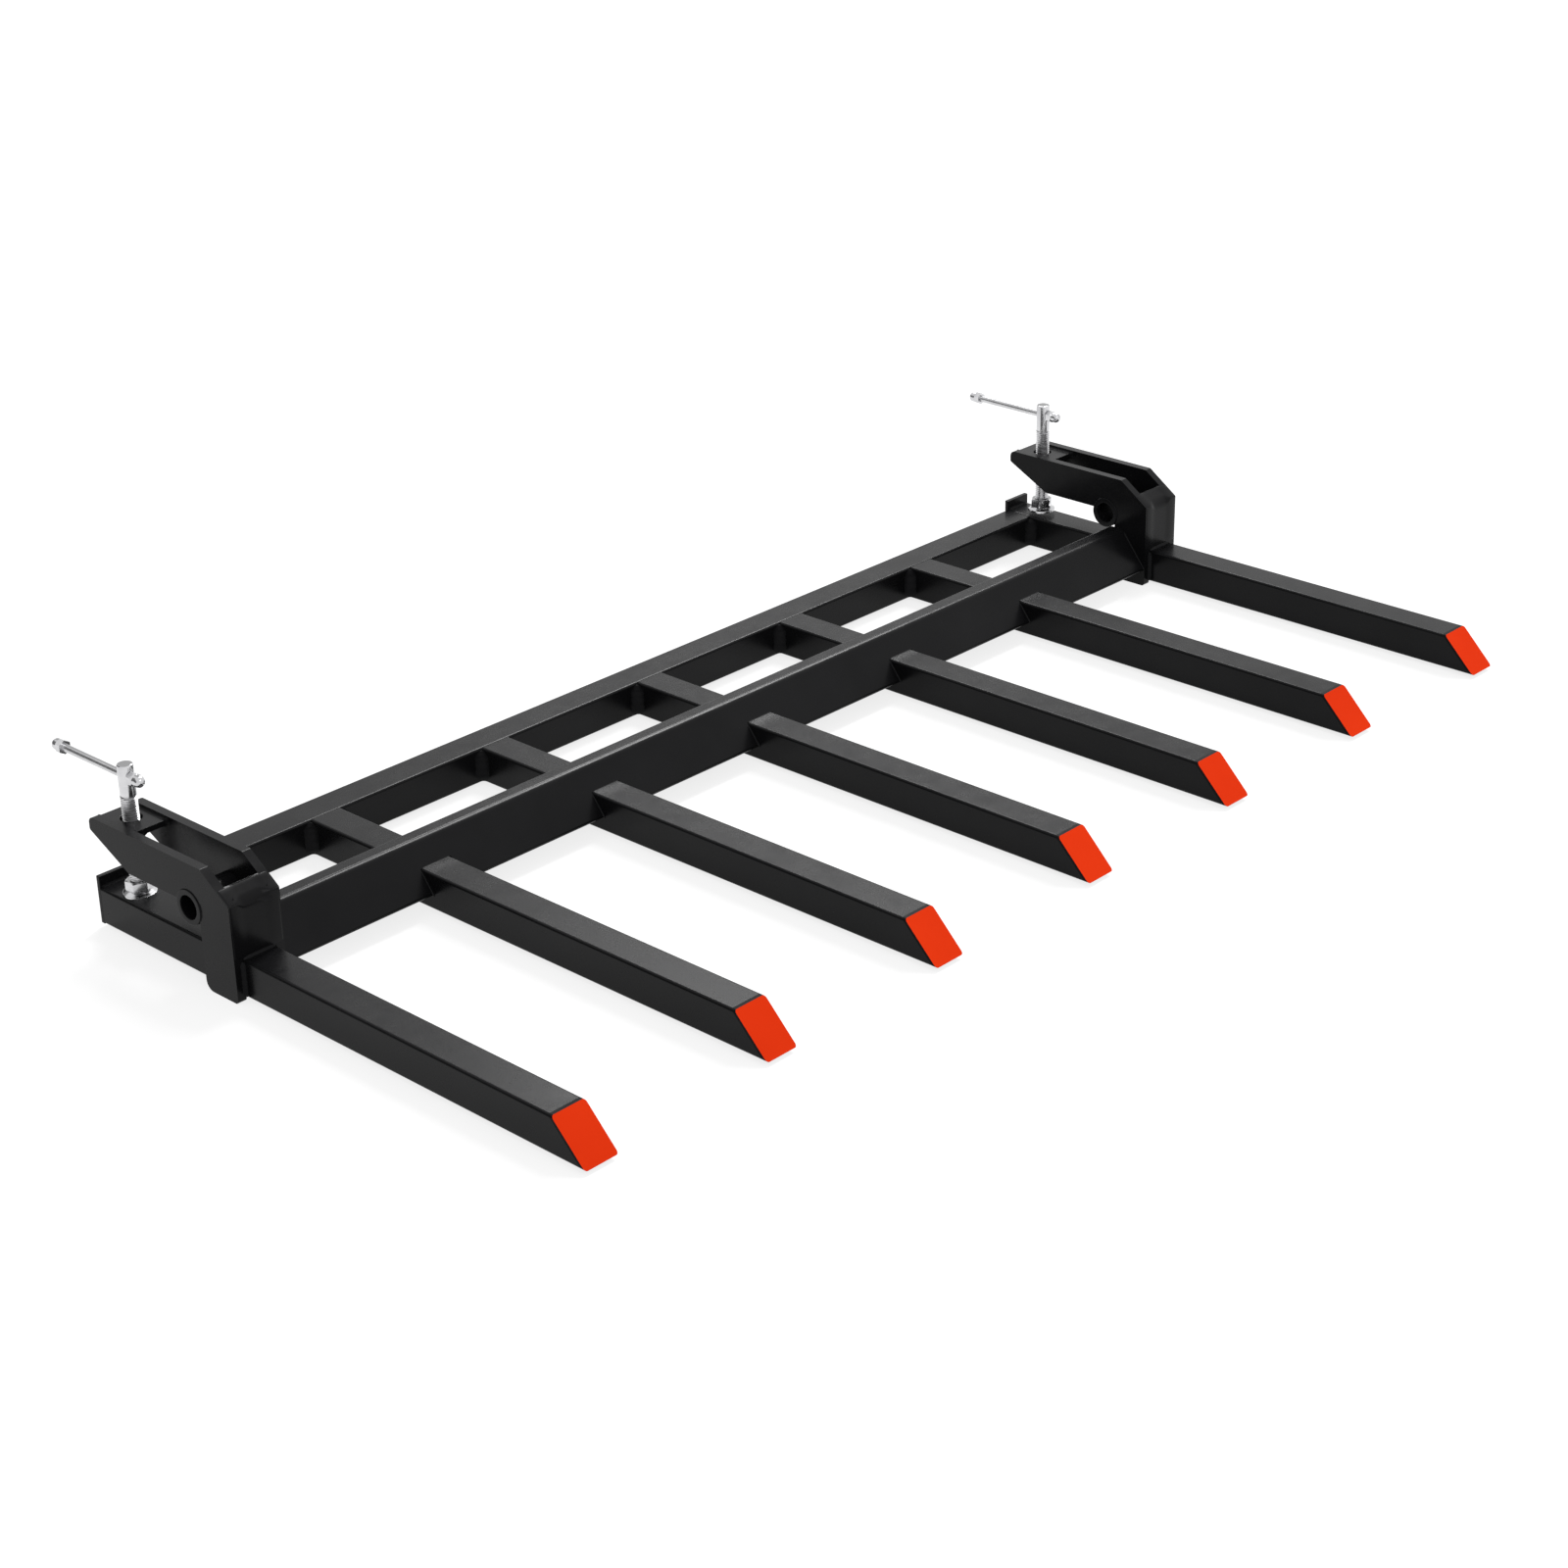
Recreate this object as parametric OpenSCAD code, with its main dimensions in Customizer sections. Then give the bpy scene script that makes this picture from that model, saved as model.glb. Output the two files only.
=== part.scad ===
// Clamp-on debris fork: seven square-tube tines on two cross rails, with a
// screw clamp at each end that grips the lip of a loader bucket.
//
// Axes: +X to the right seen from the tips, -Y toward the tips, +Z up.
// Origin: under the middle of the whole fork, on the ground plane.

/* [Which piece] */

// Piece to show

/* [Tines] */

// Outside width and height of the square tubes
tube_w = 40; // [35:1:50]

// Wall of the square tubes
tube_wall = 3; // [2:0.5:5]

// Outside corner radius of the square tubes
tube_round = 3; // [2.5:0.5:6]

// Distance from one tine to the next
tine_pitch = 235; // [160:5:300]

// From the back of the rear rail to the lowest point of a middle tine
tine_reach = 685; // [450:5:1200]

// Extra reach of the two end tines
end_tine_extra = 9; // [0:1:30]

// Angle of the cut at the tips, from the horizontal
tip_angle = 45; // [35:1:60]

// Thickness of the plates that close the tips
cap_t = 3; // [2:0.5:5]

/* [Front rail] */

// From the back of the rear rail to the back of the front rail
rail_set = 175; // [160:1:230]

// Height of the front rail's underside above the bottom of the tines
rail_low = 15; // [8:1:22]

// Height of the front rail's top above the bottom of the tines
rail_high = 63; // [54:1:66]

// Width of the flat strip on top of the front rail
rail_strip = 19; // [14:1:30]

// How far the front face leans out from top to bottom
rail_lean = 38; // [20:1:45]

// Wall of the front rail
rail_wall = 5; // [3:0.5:6]

// Outside radius of the bend at the top front of the front rail
rail_bend = 10; // [6:1:14]

// Outside radius of the front rail's other corners
rail_round = 3; // [2:0.5:6]

/* [Clamp cheeks] */

// Thickness of a cheek
cheek_t = 10; // [6:1:14]

// From the back of the rear rail to the nose of a cheek
nose_set = 14; // [8:1:20]

// Total height of a cheek above the bottom of the tines
cheek_high = 126; // [125:0.5:150]

// How far a cheek reaches below the bottom of the tines
cheek_drop = 4; // [0:1:10]

// Front edge of a cheek, from the back of the rear rail
cheek_front = 230; // [226:1:260]

// Rear edge of the cheek's leg, from the back of the rear rail
leg_set = 182; // [179:1:190]

// Height of the throat between the end tine and the arm
throat_h = 42.5; // [38:0.5:44]

// Height of the blunt nose
nose_h = 14; // [12:0.5:20]

// Length of the sloping underside of the nose
nose_slope = 58; // [50:1:64]

// Run and rise of the chamfer at the top front corner
chamfer_run = 40; // [24:1:44]
chamfer_rise = 27.5; // [20:0.5:36]

/* [Clamp plates] */

// Thickness of the bent closing plate
closing_t = 5; // [3:1:8]

// Length of the closing plate up the chamfer
closing_up = 22; // [18:1:30]

// Inside radius of the closing plate's bend
closing_bend = 12; // [6:1:14]

// Step from a cheek's edge to the plates between the cheeks
plate_step = 0.5; // [0.5:0.5:3]

// Thickness of the screw plate
screw_plate_t = 6; // [5:1:10]

// Depth of the screw plate's top below the cheeks
screw_plate_down = 3.5; // [2:0.5:8]

// Length of the screw plate
screw_plate_l = 58; // [54:1:80]

// Thickness of the jaw stop
stop_t = 5; // [3:1:8]

// How far the jaw stop stands above the end tine
stop_up = 12; // [6:1:16]

// How far the jaw stop stands behind the rear rail
stop_back = 2; // [0:0.5:4]

/* [Sleeve] */

// Outside diameter of the sleeve
sleeve_d = 37; // [34:1:38]

// Bore of the sleeve
sleeve_bore = 25; // [20:1:26]

// How far the sleeve stands out of each cheek
sleeve_proud = 1; // [0.5:0.5:8]

// Sleeve axis, from the back of the rear rail
sleeve_set = 167; // [165:1:169]

// Sleeve axis, below the underside of the arm
sleeve_down = 4; // [2:0.5:5]

/* [Clamp screw] */

// Outside diameter of the thread
screw_d = 17; // [15:0.5:20]

// Length of the threaded part
thread_l = 90; // [85:1:120]

// Diameter of the plain head
head_d = 16.5; // [15:0.5:20]

// Length of the plain head
head_l = 34; // [26:1:40]

// Depth of the bar's axis below the top of the head
bar_down = 13; // [10:1:15]

// Screw axis, from the back of the rear rail
screw_set = 42; // [38:1:46]

// How far the right foot is wound up from the tine
right_lift = 5; // [0:2.5:20]

// Clearance hole in the screw plate, more than the thread
hole_more = 5; // [2:0.5:6]

/* [Swivel foot] */

// Diameter of the foot's flange
foot_flange_d = 34; // [28:1:36]

// Width across the flats of the foot
foot_flats = 24; // [22:1:25]

// Height of the foot
foot_h = 16; // [14:1:20]

// Diameter of the pin that the foot turns on
foot_pin_d = 12; // [8:1:13]

/* [Handle] */

// Diameter of the bar
bar_d = 8; // [6:1:9]

// Length of the bar
bar_l = 135; // [100:5:180]

// Width across the flats of the domed nuts
dome_flats = 13; // [13:1:15]

// Height of a domed nut
dome_h = 18; // [14:1:20]

/* [Weld nut] */

// Width across the flats of the weld nut
nut_flats = 27; // [26:1:32]

// Height of the weld nut
nut_h = 12; // [10:1:14]

/* [Hidden] */

$fn = 64;

// Running clearance of a shaft in its hole, on the radius
run_gap = 0.05;

// Gap between the sleeve and its notch, filled by the weld
sleeve_gap = 0.3;

// Gap between the near nut and the head
nut_gap = 0.5;

tines = 7;
end_x = tine_pitch * (tines - 1) / 2;
rail_half = end_x - tube_w / 2;
end_reach = tine_reach + end_tine_extra;

throat_top = tube_w + throat_h;
nose_bottom = cheek_high - nose_h;
chamfer_low = cheek_high - chamfer_rise;
chamfer_angle = atan2(chamfer_rise, chamfer_run);

sleeve_z = throat_top - sleeve_down;
sleeve_l = tube_w + 2 * (cheek_t + sleeve_proud);

plate_top = cheek_high - screw_plate_down;
plate_low = plate_top - screw_plate_t;

head_low = foot_h + thread_l;
head_top = head_low + head_l;
bar_z = head_top - bar_down;

grip = dome_h - 5.5;
bar_near = head_d / 2 + nut_gap + grip;
bar_far = bar_l - bar_near;
handle_far = bar_far - grip + dome_h;

// Back of the rear rail in the fork's frame
back_y = (end_reach - max(handle_far - screw_set, stop_back)) / 2;

black = [0.10, 0.10, 0.105];
orange = [0.90, 0.22, 0.06];
plated = [0.78, 0.79, 0.80];

// Places a piece drawn from the back of the rear rail and the bottom of the tines.
module in_frame() {
  translate([0, back_y, cheek_drop]) children();
}

// Places a clamp piece, drawn about the end tine's middle with +X outboard.
module on_side(side) {
  in_frame() mirror([side < 0 ? 1 : 0, 0, 0]) translate([end_x, 0, 0]) children();
}

// Extrudes a profile drawn in Y and Z along X.
module along_x(x0, length) {
  translate([x0, 0, 0]) rotate([90, 0, 90]) linear_extrude(height = length) children();
}

// Rectangle with round corners, standing on its lower edge.
module round_square(w, h, r) {
  translate([-w / 2 + r, 0]) square([w - 2 * r, h]);
  translate([-w / 2, r]) square([w, h - 2 * r]);
  for (sx = [-1, 1])
    for (cy = [r, h - r])
      translate([sx * (w / 2 - r), cy]) circle(r = r);
}

// Convex outline, counter-clockwise, with a radius at each corner.
function corner_pts(p, i, r) =
  let (
    n = len(p),
    b = p[i],
    u = (p[(i + n - 1) % n] - b) / norm(p[(i + n - 1) % n] - b),
    v = (p[(i + 1) % n] - b) / norm(p[(i + 1) % n] - b),
    t = r / tan(acos(u * v) / 2)
  )
  r > 0 ? [b + u * t, b + v * t] : [b];

function corner_mid(p, i, r) =
  let (
    n = len(p),
    b = p[i],
    u = (p[(i + n - 1) % n] - b) / norm(p[(i + n - 1) % n] - b),
    v = (p[(i + 1) % n] - b) / norm(p[(i + 1) % n] - b)
  )
  b + (u + v) / norm(u + v) * r / sin(acos(u * v) / 2);

module round_outline(p, r) {
  polygon([for (i = [0:len(p) - 1]) each corner_pts(p, i, r[i])]);
  for (i = [0:len(p) - 1])
    if (r[i] > 0) translate(corner_mid(p, i, r[i])) circle(r = r[i]);
}

// Wall of the square tubes, in X and Z.
module tube_ring() {
  difference() {
    round_square(tube_w, tube_w, tube_round);
    translate([0, tube_wall])
      round_square(tube_w - 2 * tube_wall, tube_w - 2 * tube_wall, max(tube_round - tube_wall, 0.5));
  }
}

// Block in front of the slanted cut, moved back into the tine by depth.
module tip_block(reach, depth, thick) {
  translate([0, -reach, 0]) rotate([tip_angle, 0, 0])
    translate([-tube_w, -tube_w, -depth]) cube([2 * tube_w, 4 * tube_w, thick]);
}

function tine_x(i) = (i - (tines + 1) / 2) * tine_pitch;
function is_end(i) = i == 1 || i == tines;
function reach_of(i) = is_end(i) ? end_reach : tine_reach;
function start_of(i) = is_end(i) ? stop_t - stop_back : tube_w;

module rear_rail() {
  color(black) in_frame() along_x(-rail_half, 2 * rail_half)
    translate([-tube_w / 2, 0]) tube_ring();
}

function rail_shape(g) =
  let (
    back = -rail_set - g,
    low = rail_low + g,
    top = rail_high - g,
    lean = rail_lean / (rail_high - rail_low),
    side = g * sqrt(1 + lean * lean),
    front_at = -rail_set - rail_strip + side
  )
  [
    [back, low],
    [back, top],
    [front_at - (rail_high - top) * lean, top],
    [front_at - (rail_high - low) * lean, low]
  ];

module front_rail() {
  length = 2 * (rail_half - cheek_t);
  color(black) in_frame() difference() {
    along_x(-length / 2, length)
      round_outline(rail_shape(0), [rail_round, rail_round, rail_bend, rail_round]);
    along_x(-length / 2 - 1, length + 2)
      round_outline(rail_shape(rail_wall), [1, 1, max(rail_bend - rail_wall, 1), 1]);
    for (i = [2:tines - 1])
      translate([tine_x(i) - tube_w / 2, -cheek_front - 50, -1])
        cube([tube_w, cheek_front, tube_w + 1]);
  }
}

module tine(i) {
  length = reach_of(i) - start_of(i);
  color(black) in_frame() translate([tine_x(i), 0, 0]) difference() {
    translate([0, -start_of(i), 0]) rotate([90, 0, 0])
      linear_extrude(height = length) tube_ring();
    tip_block(reach_of(i), cap_t, 4 * tube_w);
  }
}

module tine_cap(i) {
  color(orange) in_frame() translate([tine_x(i), 0, 0]) intersection() {
    translate([0, -start_of(i), 0]) rotate([90, 0, 0])
      linear_extrude(height = reach_of(i) - start_of(i)) round_square(tube_w, tube_w, tube_round);
    tip_block(reach_of(i), cap_t, cap_t);
  }
}

// Cheek outline in Y and Z: an arm and a leg.
module cheek_outline() {
  round_outline(
    [
      [-cheek_front + chamfer_run, cheek_high],
      [-cheek_front, chamfer_low],
      [-cheek_front, throat_top],
      [-nose_set - nose_slope, throat_top],
      [-nose_set, nose_bottom],
      [-nose_set, cheek_high]
    ],
    [3, 3, 0, 8, 3, 7]
  );
  round_outline(
    [
      [-leg_set, chamfer_low],
      [-cheek_front, chamfer_low],
      [-cheek_front, -cheek_drop],
      [-leg_set, -cheek_drop]
    ],
    [0, 0, 4, 10]
  );
}

module cheek(side, x0) {
  color(black) on_side(side) difference() {
    along_x(x0, cheek_t) cheek_outline();
    translate([x0 - 1, -sleeve_set, sleeve_z]) rotate([0, 90, 0])
      cylinder(r = sleeve_d / 2 + sleeve_gap, h = cheek_t + 2);
  }
}

module outer_cheek(side) {
  cheek(side, tube_w / 2);
}

module inner_cheek(side) {
  cheek(side, -tube_w / 2 - cheek_t);
}

// Point on the front chamfer: distance up it, and depth below it.
function chamfer_pt(up, deep) = [
  -cheek_front + up * cos(chamfer_angle) + deep * sin(chamfer_angle),
  chamfer_low + up * sin(chamfer_angle) - deep * cos(chamfer_angle)
];

// Centre of the closing plate's bend, as deep below the front edge as below the chamfer.
function bend_centre(deep) = [
  -cheek_front + deep,
  chamfer_low - deep * (1 - sin(chamfer_angle)) / cos(chamfer_angle)
];

// Closing plate in Y and Z: upright, bend and upper end.
module closing_outline() {
  inner = plate_step + closing_t;
  centre = bend_centre(inner + closing_bend);
  out = [-sin(chamfer_angle), cos(chamfer_angle)];
  translate([-cheek_front + plate_step, tube_w]) square([closing_t, centre[1] - tube_w]);
  polygon([
    centre + out * closing_bend,
    chamfer_pt(closing_up, inner),
    chamfer_pt(closing_up, plate_step),
    centre + out * (closing_bend + closing_t)
  ]);
  intersection() {
    difference() {
      translate(centre) circle(r = closing_bend + closing_t);
      translate(centre) circle(r = closing_bend);
    }
    polygon([centre, centre + out * 3 * closing_bend, centre - [3 * closing_bend, 0]]);
  }
}

module closing_plate(side) {
  color(black) on_side(side) along_x(-tube_w / 2, tube_w) closing_outline();
}

module screw_plate(side) {
  color(black) on_side(side) difference() {
    translate([-tube_w / 2, -nose_set - plate_step - screw_plate_l, plate_low])
      cube([tube_w, screw_plate_l, screw_plate_t]);
    translate([0, -screw_set, plate_low - 1])
      cylinder(d = screw_d + hole_more, h = screw_plate_t + 2);
  }
}

// Hexagon with turned corners on its top.
module hex_block(flats, h) {
  intersection() {
    rotate([0, 0, 30]) cylinder(r = flats / 2 / cos(30), h = h, $fn = 6);
    union() {
      cylinder(r = flats / 2 / cos(30), h = h - 1.5);
      translate([0, 0, h - 1.5])
        cylinder(r1 = flats / 2 / cos(30), r2 = flats / 2 - 0.5, h = 1.5);
    }
  }
}

module weld_nut(side) {
  color(black) on_side(side) translate([0, -screw_set, plate_low]) mirror([0, 0, 1])
    difference() {
      hex_block(nut_flats, nut_h);
      translate([0, 0, -1]) cylinder(r = screw_d / 2 + run_gap, h = nut_h + 2);
    }
}

module sleeve(side) {
  color(black) on_side(side)
    translate([-sleeve_l / 2, -sleeve_set, sleeve_z]) rotate([0, 90, 0]) difference() {
      cylinder(d = sleeve_d, h = sleeve_l);
      translate([0, 0, -1]) cylinder(d = sleeve_bore, h = sleeve_l + 2);
    }
}

module jaw_stop(side) {
  color(black) on_side(side) translate([-tube_w / 2, stop_back - stop_t, 0])
    cube([tube_w, stop_t, tube_w + stop_up]);
}

function lift_of(side) = side > 0 ? right_lift : 0;

// Places a piece of the screw, drawn up from the sole of the foot.
module on_screw(side) {
  on_side(side) translate([0, -screw_set, tube_w + lift_of(side)]) children();
}

module swivel_foot(side) {
  socket = 4;
  color(plated) on_screw(side) difference() {
    union() {
      cylinder(d = foot_flange_d, h = 2.5);
      translate([0, 0, 2.5])
        cylinder(d1 = foot_flange_d - 1, d2 = foot_flats, h = 3);
      hex_block(foot_flats, foot_h);
    }
    translate([0, 0, socket])
      cylinder(r = foot_pin_d / 2 + run_gap, h = foot_h);
  }
}

module clamp_screw(side) {
  neck = 1;
  pin_low = 4.3;
  color(plated) on_screw(side) difference() {
    union() {
      translate([0, 0, pin_low]) cylinder(d = foot_pin_d, h = foot_h - pin_low + 1);
      translate([0, 0, foot_h]) cylinder(d = screw_d, h = thread_l);
      translate([0, 0, head_low - 1]) cylinder(d = head_d - 1.2, h = neck + 2);
      translate([0, 0, head_low + neck]) cylinder(d = head_d, h = head_l - neck - 1);
      translate([0, 0, head_top - 1]) cylinder(d1 = head_d, d2 = head_d - 2, h = 1);
    }
    translate([0, screw_d, bar_z]) rotate([90, 0, 0])
      cylinder(r = bar_d / 2 + run_gap, h = 2 * screw_d);
  }
}

module handle_bar(side) {
  color(plated) on_screw(side) translate([0, -bar_near, bar_z]) rotate([-90, 0, 0])
    cylinder(d = bar_d, h = bar_l);
}

// Domed nut with its open face at the origin, dome toward +Z.
module domed_nut() {
  dome_r = dome_flats / 2 - 0.4;
  hex_h = dome_h * 0.45;
  difference() {
    union() {
      hex_block(dome_flats, hex_h);
      cylinder(r = dome_r, h = dome_h - dome_r);
      translate([0, 0, dome_h - dome_r]) sphere(r = dome_r);
    }
    translate([0, 0, -1]) cylinder(r = bar_d / 2 + run_gap, h = grip + 1.2);
  }
}

module bar_nuts(side) {
  color(plated) on_screw(side) {
    translate([0, -bar_near + grip, bar_z]) rotate([90, 0, 0]) domed_nut();
    translate([0, bar_far - grip, bar_z]) rotate([-90, 0, 0]) domed_nut();
  }
}

rear_rail();
front_rail();
tine(1);  // tine_1
tine(2);  // tine_2
tine(3);  // tine_3
tine(4);  // tine_4
tine(5);  // tine_5
tine(6);  // tine_6
tine(7);  // tine_7
tine_cap(1);  // tine_cap_1
tine_cap(2);  // tine_cap_2
tine_cap(3);  // tine_cap_3
tine_cap(4);  // tine_cap_4
tine_cap(5);  // tine_cap_5
tine_cap(6);  // tine_cap_6
tine_cap(7);  // tine_cap_7
outer_cheek(-1);  // left_outer_cheek
inner_cheek(-1);  // left_inner_cheek
closing_plate(-1);  // left_closing_plate
screw_plate(-1);  // left_screw_plate
weld_nut(-1);  // left_weld_nut
sleeve(-1);  // left_sleeve
jaw_stop(-1);  // left_jaw_stop
swivel_foot(-1);  // left_swivel_foot
clamp_screw(-1);  // left_clamp_screw
handle_bar(-1);  // left_handle_bar
bar_nuts(-1);  // left_bar_nuts
outer_cheek(1);  // right_outer_cheek
inner_cheek(1);  // right_inner_cheek
closing_plate(1);  // right_closing_plate
screw_plate(1);  // right_screw_plate
weld_nut(1);  // right_weld_nut
sleeve(1);  // right_sleeve
jaw_stop(1);  // right_jaw_stop
swivel_foot(1);  // right_swivel_foot
clamp_screw(1);  // right_clamp_screw
handle_bar(1);  // right_handle_bar
bar_nuts(1);  // right_bar_nuts
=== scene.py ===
# %% [markdown]
# # Clamp-on debris fork
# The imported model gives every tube, plate, screw and nut at its real size. This lesson adds what the
# solids leave out: rounded plate edges, weld beads, cut threads and the finishes. Everything is in
# metres, with X along the rails, the tips toward -Y and Z up.

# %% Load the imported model
import bpy
import bmesh
import math
from mathutils import Matrix, Vector


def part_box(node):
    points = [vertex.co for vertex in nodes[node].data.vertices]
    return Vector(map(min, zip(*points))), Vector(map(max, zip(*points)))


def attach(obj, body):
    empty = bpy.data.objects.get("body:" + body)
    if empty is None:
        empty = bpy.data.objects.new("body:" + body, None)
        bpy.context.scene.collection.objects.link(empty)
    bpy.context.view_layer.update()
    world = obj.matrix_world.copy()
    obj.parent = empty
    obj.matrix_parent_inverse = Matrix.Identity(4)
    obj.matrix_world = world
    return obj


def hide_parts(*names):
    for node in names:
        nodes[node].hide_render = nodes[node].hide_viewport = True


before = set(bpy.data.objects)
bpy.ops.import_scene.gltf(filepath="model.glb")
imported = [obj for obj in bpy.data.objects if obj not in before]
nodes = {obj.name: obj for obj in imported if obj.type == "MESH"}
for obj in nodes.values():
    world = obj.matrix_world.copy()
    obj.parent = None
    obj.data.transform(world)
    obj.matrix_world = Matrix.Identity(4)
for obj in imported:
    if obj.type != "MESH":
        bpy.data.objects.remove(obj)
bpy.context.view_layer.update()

# %% [markdown]
# Most sizes below are read back from the nodes' own boxes, so that the welds and threads follow the
# solids. `mm` keeps the rest readable.

# %% Sizes shared by the pieces
mm = 0.001
END_TINES = {"left": "tine_1", "right": "tine_7"}
MIDDLE_TINES = [f"tine_{i}" for i in range(2, 7)]


def lowest(node):
    return Vector(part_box(node)[0])


def highest(node):
    return Vector(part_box(node)[1])


TUBE = highest("tine_4").x - lowest("tine_4").x
GROUND = lowest("tine_4").z
TUBE_TOP = GROUND + TUBE
RAIL_FRONT = lowest("rear_rail").y
RAIL_BACK = highest("rear_rail").y
CROSS_BACK = highest("front_rail").y
CROSS_TOP = highest("front_rail").z
CROSS_LOW = lowest("front_rail").z
print("tube", round(TUBE / mm, 2), "mm, tube top", round(TUBE_TOP / mm, 2), "mm")

# %% [markdown]
# ## Camera
# The photograph was taken from the front left, about 25 degrees above the fork, with a moderately
# long lens. A camera is a position and three directions, so its matrix is written out directly. They
# were fitted to the edges of the tubes, and so was the focal length, in pixels of the square picture.

# %% Camera
PICTURE_PIXELS = 1600.0
FOCAL_PIXELS = 3122.09
SENSOR = 36.0
FAR_CLIP = 200.0
CAMERA_PLACE = Vector((-2.2086, -2.3506 + RAIL_BACK, 1.4028 + GROUND))
right_way = Vector((0.6829, -0.73025, -0.01962))
forward_way = Vector((0.65531, 0.62425, -0.42529))
up_way = right_way.cross(forward_way).normalized()
right_way = forward_way.cross(up_way).normalized()

camera_data = bpy.data.cameras.new("photo_camera")
camera_data.sensor_width = SENSOR
camera_data.lens = SENSOR * FOCAL_PIXELS / PICTURE_PIXELS
camera_data.clip_end = FAR_CLIP
camera = bpy.data.objects.new("photo_camera", camera_data)
bpy.context.scene.collection.objects.link(camera)
turn = Matrix((right_way, up_way, -forward_way.normalized())).transposed().to_4x4()
camera.matrix_world = Matrix.Translation(CAMERA_PLACE) @ turn
bpy.context.scene.camera = camera
print("lens", round(camera_data.lens, 1), "mm")

# %% [markdown]
# ## Studio
# A plain pale floor, a world that is white where it is seen or mirrored, and three soft lamps. Light
# Path tells the shader what kind of ray hit it: the eye, gloss and glass see white, while diffuse
# light gets a modest level, so that black paint stays black.


# %% Small helpers for node trees
def add_node(tree, kind, **values):
    made = tree.nodes.new(kind)
    for name, value in values.items():
        setattr(made, name, value)
    return made


def seen_or_mirrored(tree):
    """1 for rays from the eye, from gloss and through glass."""
    path = add_node(tree, "ShaderNodeLightPath")
    first = add_node(tree, "ShaderNodeMath", operation="MAXIMUM")
    second = add_node(tree, "ShaderNodeMath", operation="MAXIMUM")
    tree.links.new(path.outputs["Is Camera Ray"], first.inputs[0])
    tree.links.new(path.outputs["Is Glossy Ray"], first.inputs[1])
    tree.links.new(first.outputs[0], second.inputs[0])
    tree.links.new(path.outputs["Is Transmission Ray"], second.inputs[1])
    return second.outputs[0]


print("node helpers ready: add_node, seen_or_mirrored")


# %% World
ROOM_LIGHT = 0.52
SEEN_WHITE = 1.0
world = bpy.data.worlds.new("studio")
bpy.context.scene.world = world
world.use_nodes = True
tree = world.node_tree
tree.nodes.clear()
room = add_node(tree, "ShaderNodeBackground")
room.inputs["Strength"].default_value = ROOM_LIGHT
white = add_node(tree, "ShaderNodeBackground")
white.inputs["Strength"].default_value = SEEN_WHITE
for background in (room, white):
    background.inputs["Color"].default_value = (1.0, 1.0, 1.0, 1.0)
choose = add_node(tree, "ShaderNodeMixShader")
output = add_node(tree, "ShaderNodeOutputWorld")
tree.links.new(seen_or_mirrored(tree), choose.inputs[0])
tree.links.new(room.outputs[0], choose.inputs[1])
tree.links.new(white.outputs[0], choose.inputs[2])
tree.links.new(choose.outputs[0], output.inputs["Surface"])
print("room light", ROOM_LIGHT, "seen white", SEEN_WHITE)

# %% [markdown]
# The floor's matt part takes the fork's shadow, and a glow lifts the rest of it to white. Diffuse
# rays meet the matt part alone, so that the floor throws little light back on the fork. It lies a
# hair below the fork, because two faces in one plane would flicker.

# %% Floor
FLOOR_REACH = 30.0
FLOOR_DROP = 0.2 * mm
FLOOR_GREY = 0.28
FLOOR_GLOW = 0.80


def flat_sheet(name, corners, material):
    mesh = bpy.data.meshes.new(name)
    mesh.from_pydata(corners, [], [(0, 1, 2, 3)])
    mesh.materials.append(material)
    sheet = bpy.data.objects.new(name, mesh)
    bpy.context.scene.collection.objects.link(sheet)
    return sheet


floor_paint = bpy.data.materials.new("pale_floor")
floor_paint.use_nodes = True
tree = floor_paint.node_tree
tree.nodes.clear()
matt = add_node(tree, "ShaderNodeBsdfDiffuse")
matt.inputs["Color"].default_value = (FLOOR_GREY, FLOOR_GREY, FLOOR_GREY, 1.0)
glow = add_node(tree, "ShaderNodeEmission")
glow.inputs["Strength"].default_value = FLOOR_GLOW
both = add_node(tree, "ShaderNodeAddShader")
choose = add_node(tree, "ShaderNodeMixShader")
output = add_node(tree, "ShaderNodeOutputMaterial")
tree.links.new(matt.outputs[0], both.inputs[0])
tree.links.new(glow.outputs[0], both.inputs[1])
tree.links.new(seen_or_mirrored(tree), choose.inputs[0])
tree.links.new(matt.outputs[0], choose.inputs[1])
tree.links.new(both.outputs[0], choose.inputs[2])
tree.links.new(choose.outputs[0], output.inputs["Surface"])

floor_corners = [(x * FLOOR_REACH, y * FLOOR_REACH, 0) for x, y in ((-1, -1), (1, -1), (1, 1), (-1, 1))]
floor = flat_sheet("floor", floor_corners, floor_paint)
floor.location.z = -FLOOR_DROP
print("floor", 2 * FLOOR_REACH, "m wide")

# %% [markdown]
# The lamps hang where black paint mirrors them to the camera. The high box draws the thin bright line
# along the bend of the front rail, the back panel lifts the tops of the tines, and a weak fill in
# front lights the orange tips.


# %% Lamps
def softbox(name, place, aim, wide, high, watts):
    data = bpy.data.lights.new(name, "AREA")
    data.shape = "RECTANGLE"
    data.size = wide
    data.size_y = high
    data.energy = watts
    lamp = bpy.data.objects.new(name, data)
    bpy.context.scene.collection.objects.link(lamp)
    lamp.location = place
    lamp.rotation_euler = (Vector(aim) - Vector(place)).to_track_quat("-Z", "Y").to_euler()


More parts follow.
